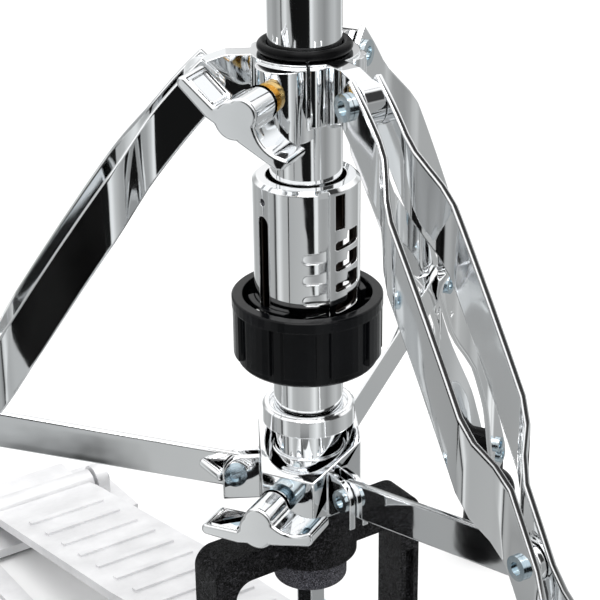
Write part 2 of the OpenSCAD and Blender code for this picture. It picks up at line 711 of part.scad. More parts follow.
module toe_clevis() color([0.82, 0.83, 0.85]) difference() {
    board_frame() {
        translate([-10.5, 238, board_t / 2]) cube([21, 20, 3]);
        for (side = [-1, 1]) translate([side * 8 - 2.5, 0, 0]) rotate([90, 0, 90]) linear_extrude(5) {
            translate([board_reach, 0]) circle(r = 6.5);
            polygon([[238, board_t / 2], [238, 8], [board_end, 8], [board_reach, 6.5],
                [board_reach, -6.5], [board_end + 6, -4], [board_end + 0.5, board_t / 2]]);
        }
    }
    translate(toe_pin) rotate([0, 90, 0]) cylinder(r = 3, h = 60, center = true);
}

module toe_pin() color([0.55, 0.6, 0.66])
    translate([-12, toe_pin[1], toe_pin[2]]) rotate([0, 90, 0]) cylinder(r = 3, h = 24);

// ---- height tube, memory lock and cymbal seat ----

module clamp_wing() color([0.82, 0.83, 0.85])
    rotate(clamp_azimuth) translate([clamp_bolt_r, 0, 0]) rotate(90) {
        wing(clamp_boss_end + 3.4, clamp_z + 18, 20);
        radial_cylinder(3, -15, clamp_boss_end + 15, clamp_z + 18);
        radial_cylinder(5.4, -15, -9.4, clamp_z + 18);
    }

module upper_tube() color([0.82, 0.83, 0.85])
    ring_solid(upper_tube_d / 2, upper_tube_d / 2 - 1.4, 420, upper_tube_top);

lock_z = tube_top + 9;
lock_screw_r = 20;

module memory_lock() color([0.82, 0.83, 0.85]) difference() {
    union() {
        translate([0, 0, lock_z]) cylinder(r = 16.5, h = 14);
        rotate(clamp_azimuth) translate([8, -7, lock_z]) cube([18, 14, 14]);
    }
    translate([0, 0, lock_z - 1]) cylinder(r = upper_tube_d / 2 + fit, h = 20);
    rotate(clamp_azimuth) translate([8, -0.8, lock_z - 1]) cube([30, 1.6, 20]);
    rotate(clamp_azimuth) translate([lock_screw_r, 0, lock_z + 7]) rotate([90, 0, 0])
        cylinder(r = 2.5 + fit, h = 30, center = true);
}

// Square-headed screw that pinches the memory lock
module lock_screw() color([0.55, 0.6, 0.66])
    rotate(clamp_azimuth) translate([lock_screw_r, 0, lock_z + 7]) rotate([90, 0, 0]) {
        cylinder(r = 2.5, h = 18, center = true);
        translate([0, 0, 9]) cylinder(r = 4, h = 7, $fn = 4);
    }

module seat_cup() color([0.12, 0.12, 0.13]) difference() {
    union() {
        translate([0, 0, upper_tube_top - 14]) cylinder(r = 14.5, h = 14);
        translate([0, 0, upper_tube_top]) cylinder(r1 = 14.5, r2 = 27, h = 6);
        translate([0, 0, upper_tube_top + 6]) cylinder(r = 27, h = 3);
        translate([0, 0, upper_tube_top + 9]) cylinder(r = 6.4, h = 6);
        translate([0, 0, upper_tube_top + 15]) cylinder(r = 6, h = 9);
    }
    translate([0, 0, upper_tube_top - 15]) cylinder(r = upper_tube_d / 2, h = 15);
    translate([0, 0, upper_tube_top - 2]) cylinder(r = 4.2, h = 30);
    translate([0, 20, upper_tube_top - 2]) cylinder(r = 2.55, h = 20);
}

module seat_felt() color([0.75, 0.74, 0.7]) difference() {
    ring_solid(17, 6.5, upper_tube_top + 9, upper_tube_top + 15);
    translate([0, 20, upper_tube_top]) cylinder(r = 3.4, h = 30);
}

module tilt_screw() color([0.75, 0.76, 0.78]) translate([0, 20, 0]) {
    translate([0, 0, upper_tube_top - 12]) cylinder(r = 2.5, h = 24);
    translate([0, 0, upper_tube_top - 18]) cylinder(r = 5.5, h = 6, $fn = 8);
}

// ---- clutch ----

clutch_z = 880;

module clutch_body() color([0.82, 0.83, 0.85]) difference() {
    union() {
        translate([0, 0, clutch_z]) cylinder(r = 6.3, h = 66);
        translate([0, 0, clutch_z + 50]) cylinder(r = 10, h = 20);
    }
    translate([0, 0, clutch_z - 1]) cylinder(r = 3 + fit, h = 80);
    rotate(clamp_azimuth) radial_cylinder(2.6, 0, 20, clutch_z + 60);
}

module clutch_nuts() color([0.82, 0.83, 0.85]) {
    for (z = [clutch_z + 1, clutch_z + 34.5, clutch_z + 42]) difference() {
        translate([0, 0, z]) cylinder(r = 12, h = 6);
        translate([0, 0, z - 1]) cylinder(r = 6.3, h = 8);
        for (i = [0:11]) rotate(i * 30) translate([12.6, 0, z - 1]) cylinder(r = 1.2, h = 8, $fn = 16);
    }
}

module clutch_felts() color([0.75, 0.74, 0.7])
    for (z = [clutch_z + 8, clutch_z + 24]) ring_solid(16, 6.4, z, z + 9);

module clutch_wing() color([0.82, 0.83, 0.85]) rotate(clamp_azimuth) {
    radial_cylinder(2.55, 3.2, 14, clutch_z + 60);
    translate([14, 0, clutch_z + 60]) rotate([90, 0, 90]) linear_extrude(4) {
        circle(r = 5);
        for (side = [-1, 1]) translate([side * 9, 0]) circle(r = 5.5);
        translate([-9, -3.5]) square([18, 7]);
    }
}

yoke();
cross_plate();
base_rails();
heel_plate();
heel_pad();
heel_pin();
lower_tube();
tension_sleeve();
sleeve_screw();
felt_bush();
stop_ring();
height_clamp();
clamp_bush();
swivel_collar();
swivel_nut();
brace_rivets();
swivel_wing();
swivel_bolt();
leg_collar();
collar_ring();
brass_nut();
leg_pivots();
leg_wing();
leg_wing_bolt();
rotate(leg_azimuths[0]) leg_strips();  // leg_a
rotate(leg_azimuths[1]) leg_strips();  // leg_b
rotate(leg_azimuths[2]) leg_strips();  // leg_c
rotate(leg_azimuths[0]) foot();  // foot_a
rotate(leg_azimuths[1]) foot();  // foot_b
rotate(leg_azimuths[2]) foot();  // foot_c
rotate(leg_azimuths[0]) leg_rivets();  // leg_rivets_a
rotate(leg_azimuths[1]) leg_rivets();  // leg_rivets_b
rotate(leg_azimuths[2]) leg_rivets();  // leg_rivets_c
rotate(leg_azimuths[0]) brace();  // brace_a
rotate(leg_azimuths[1]) brace();  // brace_b
rotate(leg_azimuths[2]) brace();  // brace_c
spring_seat();
cross_pins();
tension_ring();
tension_spring();
lower_rod();
upper_rod();
rod_coupler();
coupler_pin();
drive_link();
footboard();
toe_clevis();
toe_pin();
clamp_wing();
upper_tube();
memory_lock();
lock_screw();
seat_cup();
seat_felt();
tilt_screw();
clutch_body();
clutch_nuts();
clutch_felts();
clutch_wing();
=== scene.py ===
"""Looks, light and camera for the hi-hat stand. Metres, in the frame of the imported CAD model."""
import json
import math

import bpy
from mathutils import Matrix, Vector, noise

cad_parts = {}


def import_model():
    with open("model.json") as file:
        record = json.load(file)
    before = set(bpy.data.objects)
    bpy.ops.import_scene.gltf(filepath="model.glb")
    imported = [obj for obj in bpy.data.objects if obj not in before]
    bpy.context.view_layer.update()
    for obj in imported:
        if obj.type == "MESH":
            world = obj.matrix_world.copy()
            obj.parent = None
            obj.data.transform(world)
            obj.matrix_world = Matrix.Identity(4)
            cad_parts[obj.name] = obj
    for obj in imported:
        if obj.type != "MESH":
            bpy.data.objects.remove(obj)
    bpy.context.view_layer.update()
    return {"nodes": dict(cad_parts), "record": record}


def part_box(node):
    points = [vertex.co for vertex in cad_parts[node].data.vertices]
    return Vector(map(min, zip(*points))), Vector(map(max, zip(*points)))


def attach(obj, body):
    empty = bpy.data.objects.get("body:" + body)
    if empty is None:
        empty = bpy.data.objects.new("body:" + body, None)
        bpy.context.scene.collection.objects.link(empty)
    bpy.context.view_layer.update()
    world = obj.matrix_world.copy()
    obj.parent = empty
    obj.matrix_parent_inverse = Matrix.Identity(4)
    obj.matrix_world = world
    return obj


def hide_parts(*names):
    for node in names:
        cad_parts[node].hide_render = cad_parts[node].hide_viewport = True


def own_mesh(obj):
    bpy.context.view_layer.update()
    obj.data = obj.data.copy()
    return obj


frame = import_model()
nodes = frame["nodes"]
scene = bpy.context.scene


# ---- node helpers ----

def new_material(name):
    material = bpy.data.materials.new(name)
    material.use_nodes = True
    material.node_tree.nodes.clear()
    return material


class Graph:
    """Small wrapper that adds nodes and links to one material."""

    def __init__(self, material):
        self.tree = material.node_tree
        self.coord = self.add("ShaderNodeTexCoord")

    def add(self, kind, **values):
        node = self.tree.nodes.new(kind)
        for key, value in values.items():
            if hasattr(node, key) and key not in node.inputs:
                setattr(node, key, value)
            else:
                node.inputs[key].default_value = value
        return node

    def link(self, source, target):
        self.tree.links.new(source, target)

    def scaled(self, scale):
        node = self.add("ShaderNodeMapping")
        node.inputs["Scale"].default_value = scale
        self.link(self.coord.outputs["Object"], node.inputs["Vector"])
        return node.outputs["Vector"]

    def noise(self, scale, detail=3.0, roughness=0.5, stretch=(1, 1, 1), distortion=0.0):
        node = self.add("ShaderNodeTexNoise")
        node.inputs["Scale"].default_value = scale
        node.inputs["Detail"].default_value = detail
        node.inputs["Roughness"].default_value = roughness
        node.inputs["Distortion"].default_value = distortion
        self.link(self.scaled(stretch), node.inputs["Vector"])
        return node.outputs["Fac"]

    def remap(self, value, low, high, to_low, to_high):
        node = self.add("ShaderNodeMapRange")
        self.link(value, node.inputs["Value"])
        for key, number in zip(("From Min", "From Max", "To Min", "To Max"), (low, high, to_low, to_high)):
            node.inputs[key].default_value = number
        return node.outputs["Result"]

    def math(self, operation, first, second):
        node = self.add("ShaderNodeMath")
        node.operation = operation
        for socket, value in zip(node.inputs, (first, second)):
            if isinstance(value, bpy.types.NodeSocket):
                self.link(value, socket)
            else:
                socket.default_value = value
        return node.outputs["Value"]

    def ramp(self, value, stops):
        node = self.add("ShaderNodeValToRGB")
        ramp = node.color_ramp
        while len(ramp.elements) < len(stops):
            ramp.elements.new(0.5)
        for element, (place, colour) in zip(ramp.elements, stops):
            element.position = place
            element.color = (*colour, 1)
        self.link(value, node.inputs["Fac"])
        return node.outputs["Color"]

    def soft_edges(self, radius):
        """Normals that turn over a small radius at sharp edges, as plating on a casting does."""
        node = self.add("ShaderNodeBevel")
        node.samples = 6
        node.inputs["Radius"].default_value = radius
        return node.outputs["Normal"]

    def bump(self, height, strength, distance, normal=None):
        node = self.add("ShaderNodeBump")
        node.inputs["Strength"].default_value = strength
        node.inputs["Distance"].default_value = distance
        self.link(height, node.inputs["Height"])
        if normal is not None:
            self.link(normal, node.inputs["Normal"])
        return node.outputs["Normal"]

    def surface(self, **values):
        shader = self.add("ShaderNodeBsdfPrincipled")
        for key, value in values.items():
            socket = shader.inputs[key.replace("_", " ")]
            if isinstance(value, bpy.types.NodeSocket):
                self.link(value, socket)
            else:
                socket.default_value = value
        output = self.add("ShaderNodeOutputMaterial")
        self.link(shader.outputs["BSDF"], output.inputs["Surface"])
        return shader


# ---- materials ----

# Radius over which each finish turns at a sharp edge
CHROME_EDGE = 0.0007
PLASTIC_EDGE = 0.0006
PAINT_EDGE = 0.0014


def chrome_look(g):
    """Tint, roughness and normal that every chrome surface shares."""
    tint = g.ramp(g.noise(14, 2), [(0.35, (0.90, 0.915, 0.93)), (0.65, (0.955, 0.96, 0.965))])
    smudge = g.remap(g.noise(60, 4), 0.42, 0.75, 0.028, 0.075)
    ripple = g.bump(g.noise(38, 2), 0.10, 0.0006, g.soft_edges(CHROME_EDGE))
    return tint, smudge, ripple


def chrome():
    material = new_material("chrome")
    g = Graph(material)
    tint, smudge, ripple = chrome_look(g)
    g.surface(Base_Color=tint, Metallic=1.0, Roughness=smudge, Normal=ripple)
    return material


BARE_AND_SHADE_ROUGHNESS = 0.6
# Over these distances the plating gives way to bare steel in the bore, and to painted shade under the sleeve and in
# the sleeve's slots
BORE_BLEND = 0.0003
WALL_BLEND = 0.0002
HEIGHT_BLEND = 0.0005
# Painted shade at the bottom of a recess, from this near the hidden radius to this far from it, darkest at the near
# end
RECESS_SHADE_FROM, RECESS_SHADE_TO = 0.0001, 0.0009
RECESS_SHADE_DARKEST = 0.22


def chrome_with_painted_shade(name, bare_radius, hidden_radius, hidden_low, hidden_high):
    """Chrome, but unplated dark steel inside bare_radius, and painted shade in the same dark colour inside
    hidden_radius between two heights, with the plating shaded darker near the bottom of a recess.
    """
    material = new_material(name)
    g = Graph(material)
    plated, smudge, ripple = chrome_look(g)
    # The same dark colour serves for bare steel in the bore and for painted shade under the sleeve and in its slots.
    bare_steel_and_painted_shade = g.ramp(g.noise(300, 4), [(0.3, (0.008, 0.005, 0.003)), (0.7, (0.030, 0.017, 0.010))])

    split = g.add("ShaderNodeSeparateXYZ")
    g.link(g.coord.outputs["Object"], split.inputs["Vector"])
    height = split.outputs["Z"]
    flat = g.add("ShaderNodeCombineXYZ")
    g.link(split.outputs["X"], flat.inputs["X"])
    g.link(split.outputs["Y"], flat.inputs["Y"])
    length = g.add("ShaderNodeVectorMath")
    length.operation = "LENGTH"
    g.link(flat.outputs["Vector"], length.inputs[0])
    radius = length.outputs["Value"]

    bore = g.remap(radius, bare_radius, bare_radius + BORE_BLEND, 1, 0)
    under = g.remap(radius, hidden_radius, hidden_radius + WALL_BLEND, 1, 0)
    above_low = g.remap(height, hidden_low, hidden_low + HEIGHT_BLEND, 0, 1)
    below_high = g.remap(height, hidden_high - HEIGHT_BLEND, hidden_high, 1, 0)
    between = g.math("MULTIPLY", above_low, below_high)
    outside = g.math("SUBTRACT", 1.0, g.math("MAXIMUM", bore, g.math("MULTIPLY", under, between)))

    # Painted shade: the plating is darkened at the bottom of the sleeve's recesses.
    recess_shade = g.remap(radius, hidden_radius + RECESS_SHADE_FROM, hidden_radius + RECESS_SHADE_TO, RECESS_SHADE_DARKEST, 1)
    recess_shade_scale = g.math("SUBTRACT", 1.0, g.math("MULTIPLY", between, g.math("SUBTRACT", 1.0, recess_shade)))
    shade = g.add("ShaderNodeVectorMath")
    shade.operation = "SCALE"
    g.link(plated, shade.inputs[0])
    g.link(recess_shade_scale, shade.inputs["Scale"])

    tint = g.add("ShaderNodeMix")
    tint.data_type = "RGBA"
    g.link(outside, tint.inputs["Factor"])
    g.link(bare_steel_and_painted_shade, tint.inputs["A"])
    g.link(shade.outputs["Vector"], tint.inputs["B"])
    rough = g.add("ShaderNodeMix")
    rough.data_type = "FLOAT"
    rough.inputs["A"].default_value = BARE_AND_SHADE_ROUGHNESS
    g.link(outside, rough.inputs["Factor"])
    g.link(smudge, rough.inputs["B"])
    g.surface(Base_Color=tint.outputs["Result"], Metallic=outside, Roughness=rough.outputs["Result"], Normal=ripple)
    return material


def zinc():
    """Bright zinc plate with a cool blue cast."""
    material = new_material("zinc")
    g = Graph(material)
    tint = g.ramp(g.noise(130, 3), [(0.3, (0.42, 0.54, 0.62)), (0.55, (0.62, 0.71, 0.76)), (0.8, (0.76, 0.79, 0.78))])
    rough = g.remap(g.noise(700, 3), 0.3, 0.7, 0.10, 0.22)
    grain = g.bump(g.noise(1800, 3), 0.08, 0.0001)
    g.surface(Base_Color=tint, Metallic=1.0, Roughness=rough, Normal=grain)
    return material


def steel():
    material = new_material("steel")
    g = Graph(material)
    tint = g.ramp(g.noise(30, 4, stretch=(1, 1, 8)), [(0.3, (0.50, 0.51, 0.53)), (0.7, (0.68, 0.69, 0.71))])
    rough = g.remap(g.noise(160, 4, stretch=(1, 1, 14)), 0.3, 0.7, 0.2, 0.4)
    lines = g.bump(g.noise(900, 4, stretch=(1, 1, 12)), 0.2, 0.0001)
    g.surface(Base_Color=tint, Metallic=1.0, Roughness=rough, Normal=lines)
    return material


def brass():
    material = new_material("brass")
    g = Graph(material)
    tint = g.ramp(g.noise(200, 3), [(0.3, (0.66, 0.40, 0.10)), (0.7, (0.86, 0.62, 0.26))])
    rough = g.remap(g.noise(600, 3), 0.3, 0.7, 0.12, 0.3)
    g.surface(Base_Color=tint, Metallic=1.0, Roughness=rough, Normal=g.bump(g.noise(1500), 0.12, 0.0001))
    return material


def pedal_alloy():
    material = new_material("pedal_alloy")
    g = Graph(material)
    tint = g.ramp(g.noise(50, 4), [(0.3, (0.70, 0.70, 0.71)), (0.7, (0.84, 0.84, 0.85))])
    rough = g.remap(g.noise(500, 3), 0.3, 0.7, 0.42, 0.6)
    g.surface(Base_Color=tint, Metallic=0.55, Roughness=rough, Normal=g.bump(g.noise(1300, 3), 0.2, 0.0001))
    return material


def dark_steel():
    material = new_material("dark_steel")
    g = Graph(material)
    tint = g.ramp(g.noise(500, 3), [(0.3, (0.03, 0.03, 0.035)), (0.7, (0.09, 0.09, 0.1))])
    rough = g.remap(g.noise(900, 3), 0.3, 0.7, 0.25, 0.45)
    g.surface(Base_Color=tint, Metallic=0.9, Roughness=rough, Normal=g.bump(g.noise(1500), 0.15, 0.0001))
    return material


def black_casting():
    """Black wrinkle paint: shiny ridges about a millimetre apart, with dark creases between them. Its colour is
    painted darker in the creases and lighter on the ridges, as painted shade and painted highlight.
    """
    material = new_material("black_casting")
    g = Graph(material)
    wrinkle = g.noise(720, 1.5, 0.5, distortion=2.5)
    fine = g.noise(2100, 2, 0.5)
    # The colour follows the wrinkle height: painted shade in the creases, painted highlight on the ridges.
    tint = g.ramp(wrinkle, [(0.44, (0.0005, 0.0005, 0.0007)), (0.53, (0.0025, 0.0025, 0.003)),
                            (0.62, (0.06, 0.06, 0.066))])
    rough = g.remap(wrinkle, 0.35, 0.65, 0.5, 0.22)
    normal = g.bump(wrinkle, 1.0, 0.004, g.bump(fine, 0.3, 0.0003, g.soft_edges(PAINT_EDGE)))
    g.surface(Base_Color=tint, Roughness=rough, Normal=normal, Specular_IOR_Level=0.13)
    return material


def black_plastic():
    material = new_material("black_plastic")
    g = Graph(material)
    tint = g.ramp(g.noise(40, 3), [(0.3, (0.0016, 0.0018, 0.0022)), (0.7, (0.0032, 0.0036, 0.0045))])
    rough = g.remap(g.noise(240, 4), 0.3, 0.7, 0.13, 0.2)
    g.surface(Base_Color=tint, Roughness=rough,
              Normal=g.bump(g.noise(2400, 2), 0.06, 0.0001, g.soft_edges(PLASTIC_EDGE)), Specular_IOR_Level=0.17)
    return material


def rubber():
    material = new_material("rubber")
    g = Graph(material)
    tint = g.ramp(g.noise(120, 4), [(0.3, (0.0015, 0.0015, 0.0017)), (0.7, (0.0045, 0.0045, 0.005))])
    rough = g.remap(g.noise(300, 4), 0.3, 0.7, 0.24, 0.36)
    g.surface(Base_Color=tint, Roughness=rough, Normal=g.bump(g.noise(1900, 3), 0.15, 0.0002),
              Specular_IOR_Level=0.07)
    return material


def felt(name, dark, mid, pale):
    """Pressed fibres of mixed shades."""
    material = new_material(name)
    g = Graph(material)
    fibre = g.noise(1500, 3, 0.8, distortion=2.0)
    speck = g.noise(3400, 2, 0.6, distortion=1.0)
    mix = g.add("ShaderNodeMath")
    mix.operation = "ADD"
    g.link(fibre, mix.inputs[0])
    g.link(g.remap(speck, 0.3, 0.7, -0.08, 0.08), mix.inputs[1])
    tint = g.ramp(mix.outputs["Value"], [(0.43, dark), (0.53, mid), (0.62, pale)])
    normal = g.bump(fibre, 0.8, 0.0008, g.bump(speck, 0.4, 0.0004))
    g.surface(Base_Color=tint, Roughness=0.95, Normal=normal, Sheen_Weight=0.1, Specular_IOR_Level=0.1)
    return material


MATERIALS = {
    "chrome": chrome(), "zinc": zinc(), "steel": steel(), "brass": brass(),
    "pedal_alloy": pedal_alloy(), "dark_steel": dark_steel(),
    "black_casting": black_casting(), "black_plastic": black_plastic(), "rubber": rubber(),
    "dark_felt": felt("dark_felt", (0.003, 0.003, 0.005), (0.018, 0.018, 0.024), (0.24, 0.24, 0.28)),
    "pale_felt": felt("pale_felt", (0.32, 0.31, 0.29), (0.6, 0.59, 0.56), (0.82, 0.81, 0.78)),
}
for part in frame["record"]["subparts"]:
    mesh = nodes[part["node"]].data
    mesh.materials.clear()
    mesh.materials.append(MATERIALS[part["material_slot"]])

# The tube is bare and dark inside. Where the sleeve covers it, and on the walls of the sleeve's slots, the dark is
# painted shade.
# The sleeve has no bare bore, so its bare radius is next to nothing.
TUBE_BORE = 0.0131
SLEEVE_BORE = 0.001
SLEEVE_SKIN = 0.0016
HIDDEN_MARGIN = 0.001
TUBE_RIM = 0.0025
SLEEVE_RIM = 0.003
sleeve_low, sleeve_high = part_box("tension_sleeve")
nodes["lower_tube"].data.materials[0] = chrome_with_painted_shade(
    "tube_chrome_with_painted_shade", TUBE_BORE, sleeve_high[0], sleeve_low[2] + HIDDEN_MARGIN, sleeve_high[2] - TUBE_RIM)
nodes["tension_sleeve"].data.materials[0] = chrome_with_painted_shade(
    "sleeve_chrome_with_painted_shade", SLEEVE_BORE, sleeve_high[0] - SLEEVE_SKIN,
    sleeve_low[2] - HIDDEN_MARGIN, sleeve_high[2] - SLEEVE_RIM)


# ---- soft pieces and the spring ----

def mesh_piece(name, points, faces, material_slot, body):
    mesh = bpy.data.meshes.new(name)
    mesh.from_pydata(points, [], faces)
    mesh.validate()
    mesh.shade_smooth()
    mesh.materials.append(MATERIALS[material_slot])
    piece = bpy.data.objects.new(name, mesh)
    scene.collection.objects.link(piece)
    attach(piece, body)
    return piece


CORNER_STEPS = 5
FELT_MESH = 0.0009


def felt_profile(inner, outer, bottom, top, corner):
    """Cross-section of a pressed felt ring with soft corners."""
    profile = []
    for centre_r, centre_z, start in ((outer - corner, bottom + corner, -90), (outer - corner, top - corner, 0),
                                      (inner + corner, top - corner, 90), (inner + corner, bottom + corner, 180)):
        for step in range(CORNER_STEPS + 1):
            angle = math.radians(start + 90 * step / CORNER_STEPS)
            profile.append((centre_r + corner * math.cos(angle), centre_z + corner * math.sin(angle)))
    filled = []
    for (r0, z0), (r1, z1) in zip(profile, profile[1:] + profile[:1]):
        filled.append((r0, z0))
        parts = max(1, round(math.hypot(r1 - r0, z1 - z0) / FELT_MESH))
        filled.extend((r0 + (r1 - r0) * i / parts, z0 + (z1 - z0) * i / parts) for i in range(1, parts))
    return filled


FELT_SIDES = 120
FELT_CORNER = 0.0011
# The cloth stays this far inside its solid, top and bottom
FELT_INSET = 0.0001
# Height of the fuzz, and the band at each flat face that has none
FUZZ = 0.00022
SMOOTH_BAND = 0.0006


def felt_ring(name, node, body, material_slot, inner, outer, bottom, top):
    profile = felt_profile(inner + FUZZ, outer - FUZZ, bottom + FELT_INSET, top - FELT_INSET, FELT_CORNER)
    count = len(profile)
    points = []
    for side in range(FELT_SIDES):
        angle = 2 * math.pi * side / FELT_SIDES
        for r, z in profile:
            place = Vector((r * math.cos(angle), r * math.sin(angle), z))
            fuzz = FUZZ * noise.noise(place * 900) + 0.5 * FUZZ * noise.noise(place * 2600)
            lift = 0.0 if z - bottom < SMOOTH_BAND or top - z < SMOOTH_BAND else fuzz
            points.append((place.x + lift * math.cos(angle), place.y + lift * math.sin(angle), z))
    faces = [(side * count + i, (side + 1) % FELT_SIDES * count + i,
              (side + 1) % FELT_SIDES * count + (i + 1) % count, side * count + (i + 1) % count)
             for side in range(FELT_SIDES) for i in range(count)]
    piece = mesh_piece(name, points, faces, material_slot, body)
    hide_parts(node)
    return piece


# Bores of the three kinds of felt, each just over the rod or stem inside it
BUSH_BORE = 0.0062
SEAT_BORE = 0.0065
CLUTCH_BORE = 0.0064
CLUTCH_FELT_T = 0.009

low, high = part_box("felt_bush")
felt_ring("felt_bush_cloth", "felt_bush", "base", "dark_felt", BUSH_BORE, high[0], low[2], high[2])
low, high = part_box("seat_felt")
felt_ring("seat_felt_cloth", "seat_felt", "height", "pale_felt", SEAT_BORE, high[0], low[2], high[2])
low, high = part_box("clutch_felts")
felt_ring("clutch_felt_lower", "clutch_felts", "clutch", "pale_felt",
          CLUTCH_BORE, high[0], low[2], low[2] + CLUTCH_FELT_T)
felt_ring("clutch_felt_upper", "clutch_felts", "clutch", "pale_felt",
          CLUTCH_BORE, high[0], high[2] - CLUTCH_FELT_T, high[2])

SPRING_WIRE = 0.00095
SPRING_R = 0.009
SPRING_TURNS = 10
TURN_STEPS = 36
WIRE_SIDES = 10


def spring_wire(name, steps, place):
    """One stretch of the coil, closed at both ends. place gives a step's height."""
    points = []
    for step in steps:
        angle = 2 * math.pi * step / TURN_STEPS
        for side in range(WIRE_SIDES):
            around = 2 * math.pi * side / WIRE_SIDES
            r = SPRING_R + SPRING_WIRE * math.cos(around)
            points.append((r * math.cos(angle), r * math.sin(angle), place(step) + SPRING_WIRE * math.sin(around)))
    rings = len(steps) - 1
    faces = [(ring * WIRE_SIDES + i, ring * WIRE_SIDES + (i + 1) % WIRE_SIDES,
              (ring + 1) * WIRE_SIDES + (i + 1) % WIRE_SIDES, (ring + 1) * WIRE_SIDES + i)
             for ring in range(rings) for i in range(WIRE_SIDES)]
    faces.append(tuple(range(WIRE_SIDES)))
    faces.append(tuple(rings * WIRE_SIDES + i for i in reversed(range(WIRE_SIDES))))
    piece = mesh_piece(name, points, faces, "dark_steel", "base")
    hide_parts("tension_spring")
    return piece


def joint_span(name):
    low, high = next(j["range_m"] for j in frame["record"]["behaviour"]["joints"] if j["name"] == name)
    return high - low


def coil_spring():
    """Closed and ground helix in two stretches that meet at a fixed height: the seat rises under the lower one,
    and the rod's flange comes down on the upper one."""
    low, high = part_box("tension_spring")
    bottom, top = low[2] + SPRING_WIRE, high[2] - SPRING_WIRE
    dead = 2 * SPRING_WIRE

    def place(step):
        turn = step / TURN_STEPS
        if turn < 1:
            return bottom + dead * turn
        if turn > SPRING_TURNS - 1:
            return top - dead * (SPRING_TURNS - turn)
        return bottom + dead + (top - bottom - 2 * dead) * (turn - 1) / (SPRING_TURNS - 2)

    rise, press = joint_span("tension_slide"), joint_span("rod_slide")
    share = rise / (rise + press)
    steps = SPRING_TURNS * TURN_STEPS
    meet = min(range(steps), key=lambda step: abs(place(step) - (low[2] + share * (high[2] - low[2]))))
    lower = spring_wire("tension_spring_lower", range(meet + 1), place)
    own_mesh(lower)
    upper = spring_wire("tension_spring_upper", range(meet, steps + 1), place)
    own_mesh(upper)


coil_spring()

EDGE_ANGLE = math.radians(32)
FLAT_ANGLE = math.radians(0.6)
EDGE_SEGMENTS = 3
WELD_REACH = 0.00001


def round_edges(name, width):
    """Small rounds on the sharp edges of a CAD node, as plated and moulded parts have."""
    piece = nodes[name]
    weld = piece.modifiers.new("weld", "WELD")
    weld.merge_threshold = WELD_REACH
    flat = piece.modifiers.new("join_flat_faces", "DECIMATE")
    flat.decimate_type = "DISSOLVE"
    flat.angle_limit = FLAT_ANGLE
    bevel = piece.modifiers.new("edge_round", "BEVEL")
    bevel.width = width
    bevel.segments = EDGE_SEGMENTS
    bevel.limit_method = "ANGLE"
    bevel.angle_limit = EDGE_ANGLE
    bevel.use_clamp_overlap = False
    normals = piece.modifiers.new("edge_normals", "WEIGHTED_NORMAL")
    normals.keep_sharp = False
    normals.weight = 60


EDGE_WIDTHS = {
    "leg_a": 0.0008, "leg_b": 0.0008, "leg_c": 0.0008,
    "brace_a": 0.0006, "brace_b": 0.0006, "brace_c": 0.0006,
    "swivel_collar": 0.0005,
    "leg_wing": 0.0012, "swivel_wing": 0.0012, "clamp_wing": 0.0012,
}
for name, width in EDGE_WIDTHS.items():
    round_edges(name, width)


# ---- camera ----

LENS_MM = 110.4
SENSOR_MM = 36.0
CAMERA_PLACE = Vector((0.3718, 0.5574, 0.557))
CAMERA_AZIMUTH = math.radians(236.55)
CAMERA_PITCH = math.radians(-24.85)
CAMERA_ROLL = math.radians(-0.71)

forward = Vector((math.cos(CAMERA_PITCH) * math.cos(CAMERA_AZIMUTH),
                  math.cos(CAMERA_PITCH) * math.sin(CAMERA_AZIMUTH), math.sin(CAMERA_PITCH)))
level_right = forward.cross(Vector((0, 0, 1))).normalized()
level_up = level_right.cross(forward)
right = math.cos(CAMERA_ROLL) * level_right + math.sin(CAMERA_ROLL) * level_up
up = right.cross(forward)
camera_data = bpy.data.cameras.new("camera")
camera_data.lens = LENS_MM
camera_data.sensor_width = SENSOR_MM
camera_data.clip_start = 0.01
camera = bpy.data.objects.new("camera", camera_data)
scene.collection.objects.link(camera)
camera.matrix_world = Matrix.Translation(CAMERA_PLACE) @ Matrix((right, up, -forward)).transposed().to_4x4()
scene.camera = camera


# ---- floor, world and lights ----

def pale_floor():
    material = new_material("pale_floor")
    g = Graph(material)
    pale = g.ramp(g.noise(3, 3), [(0.3, (0.90, 0.90, 0.90)), (0.7, (0.92, 0.92, 0.92))])
    g.surface(Base_Color=pale, Roughness=0.8, Specular_IOR_Level=0.0)
    return material


def quad(name, corners, material):
    mesh = bpy.data.meshes.new(name)
    mesh.from_pydata(corners, [], [(0, 1, 2, 3)])
    mesh.materials.append(material)
    piece = bpy.data.objects.new(name, mesh)
    scene.collection.objects.link(piece)
    return piece


FLOOR_HALF = 30.0
FLOOR_DROP = 0.0004
floor = quad("floor", [(x * FLOOR_HALF, y * FLOOR_HALF, -FLOOR_DROP)
                       for x, y in ((-1, -1), (1, -1), (1, 1), (-1, 1))], pale_floor())
floor.visible_glossy = False

# What polished metal sees of the studio: brightness by azimuth in degrees, just under the horizon
STUDIO_RING = [(-72, 0.44), (-56, 0.37), (-41, 0.31), (-27, 0.42), (-18, 0.40), (-15, 0.03), (-13, 0.03),
               (-10, 0.62), (-4, 0.78), (5, 0.48), (20, 0.42), (60, 0.50), (77, 0.85), (86, 0.55), (99, 0.38),
               (119, 0.28), (130, 0.34), (145, 0.47), (160, 0.53), (175, 0.43), (196, 0.38), (206, 0.82),
               (215, 0.90), (220, 0.07), (236, 0.04), (241, 0.78), (251, 0.92), (263, 0.52), (275, 0.40),
               (287.9, 0.44)]
RING_START = -72
RING_TINT = (0.985, 1.008, 1.01)

# Tall black flag, in degrees. Its left edge leans to the right as it goes down.
FLAG_LEFT, FLAG_RIGHT, FLAG_TOP = 4, 73, 14
FLAG_LEAN, FLAG_LEAN_AT_HORIZON = -6.25, -88
FLAG_DARKNESS = 0.985
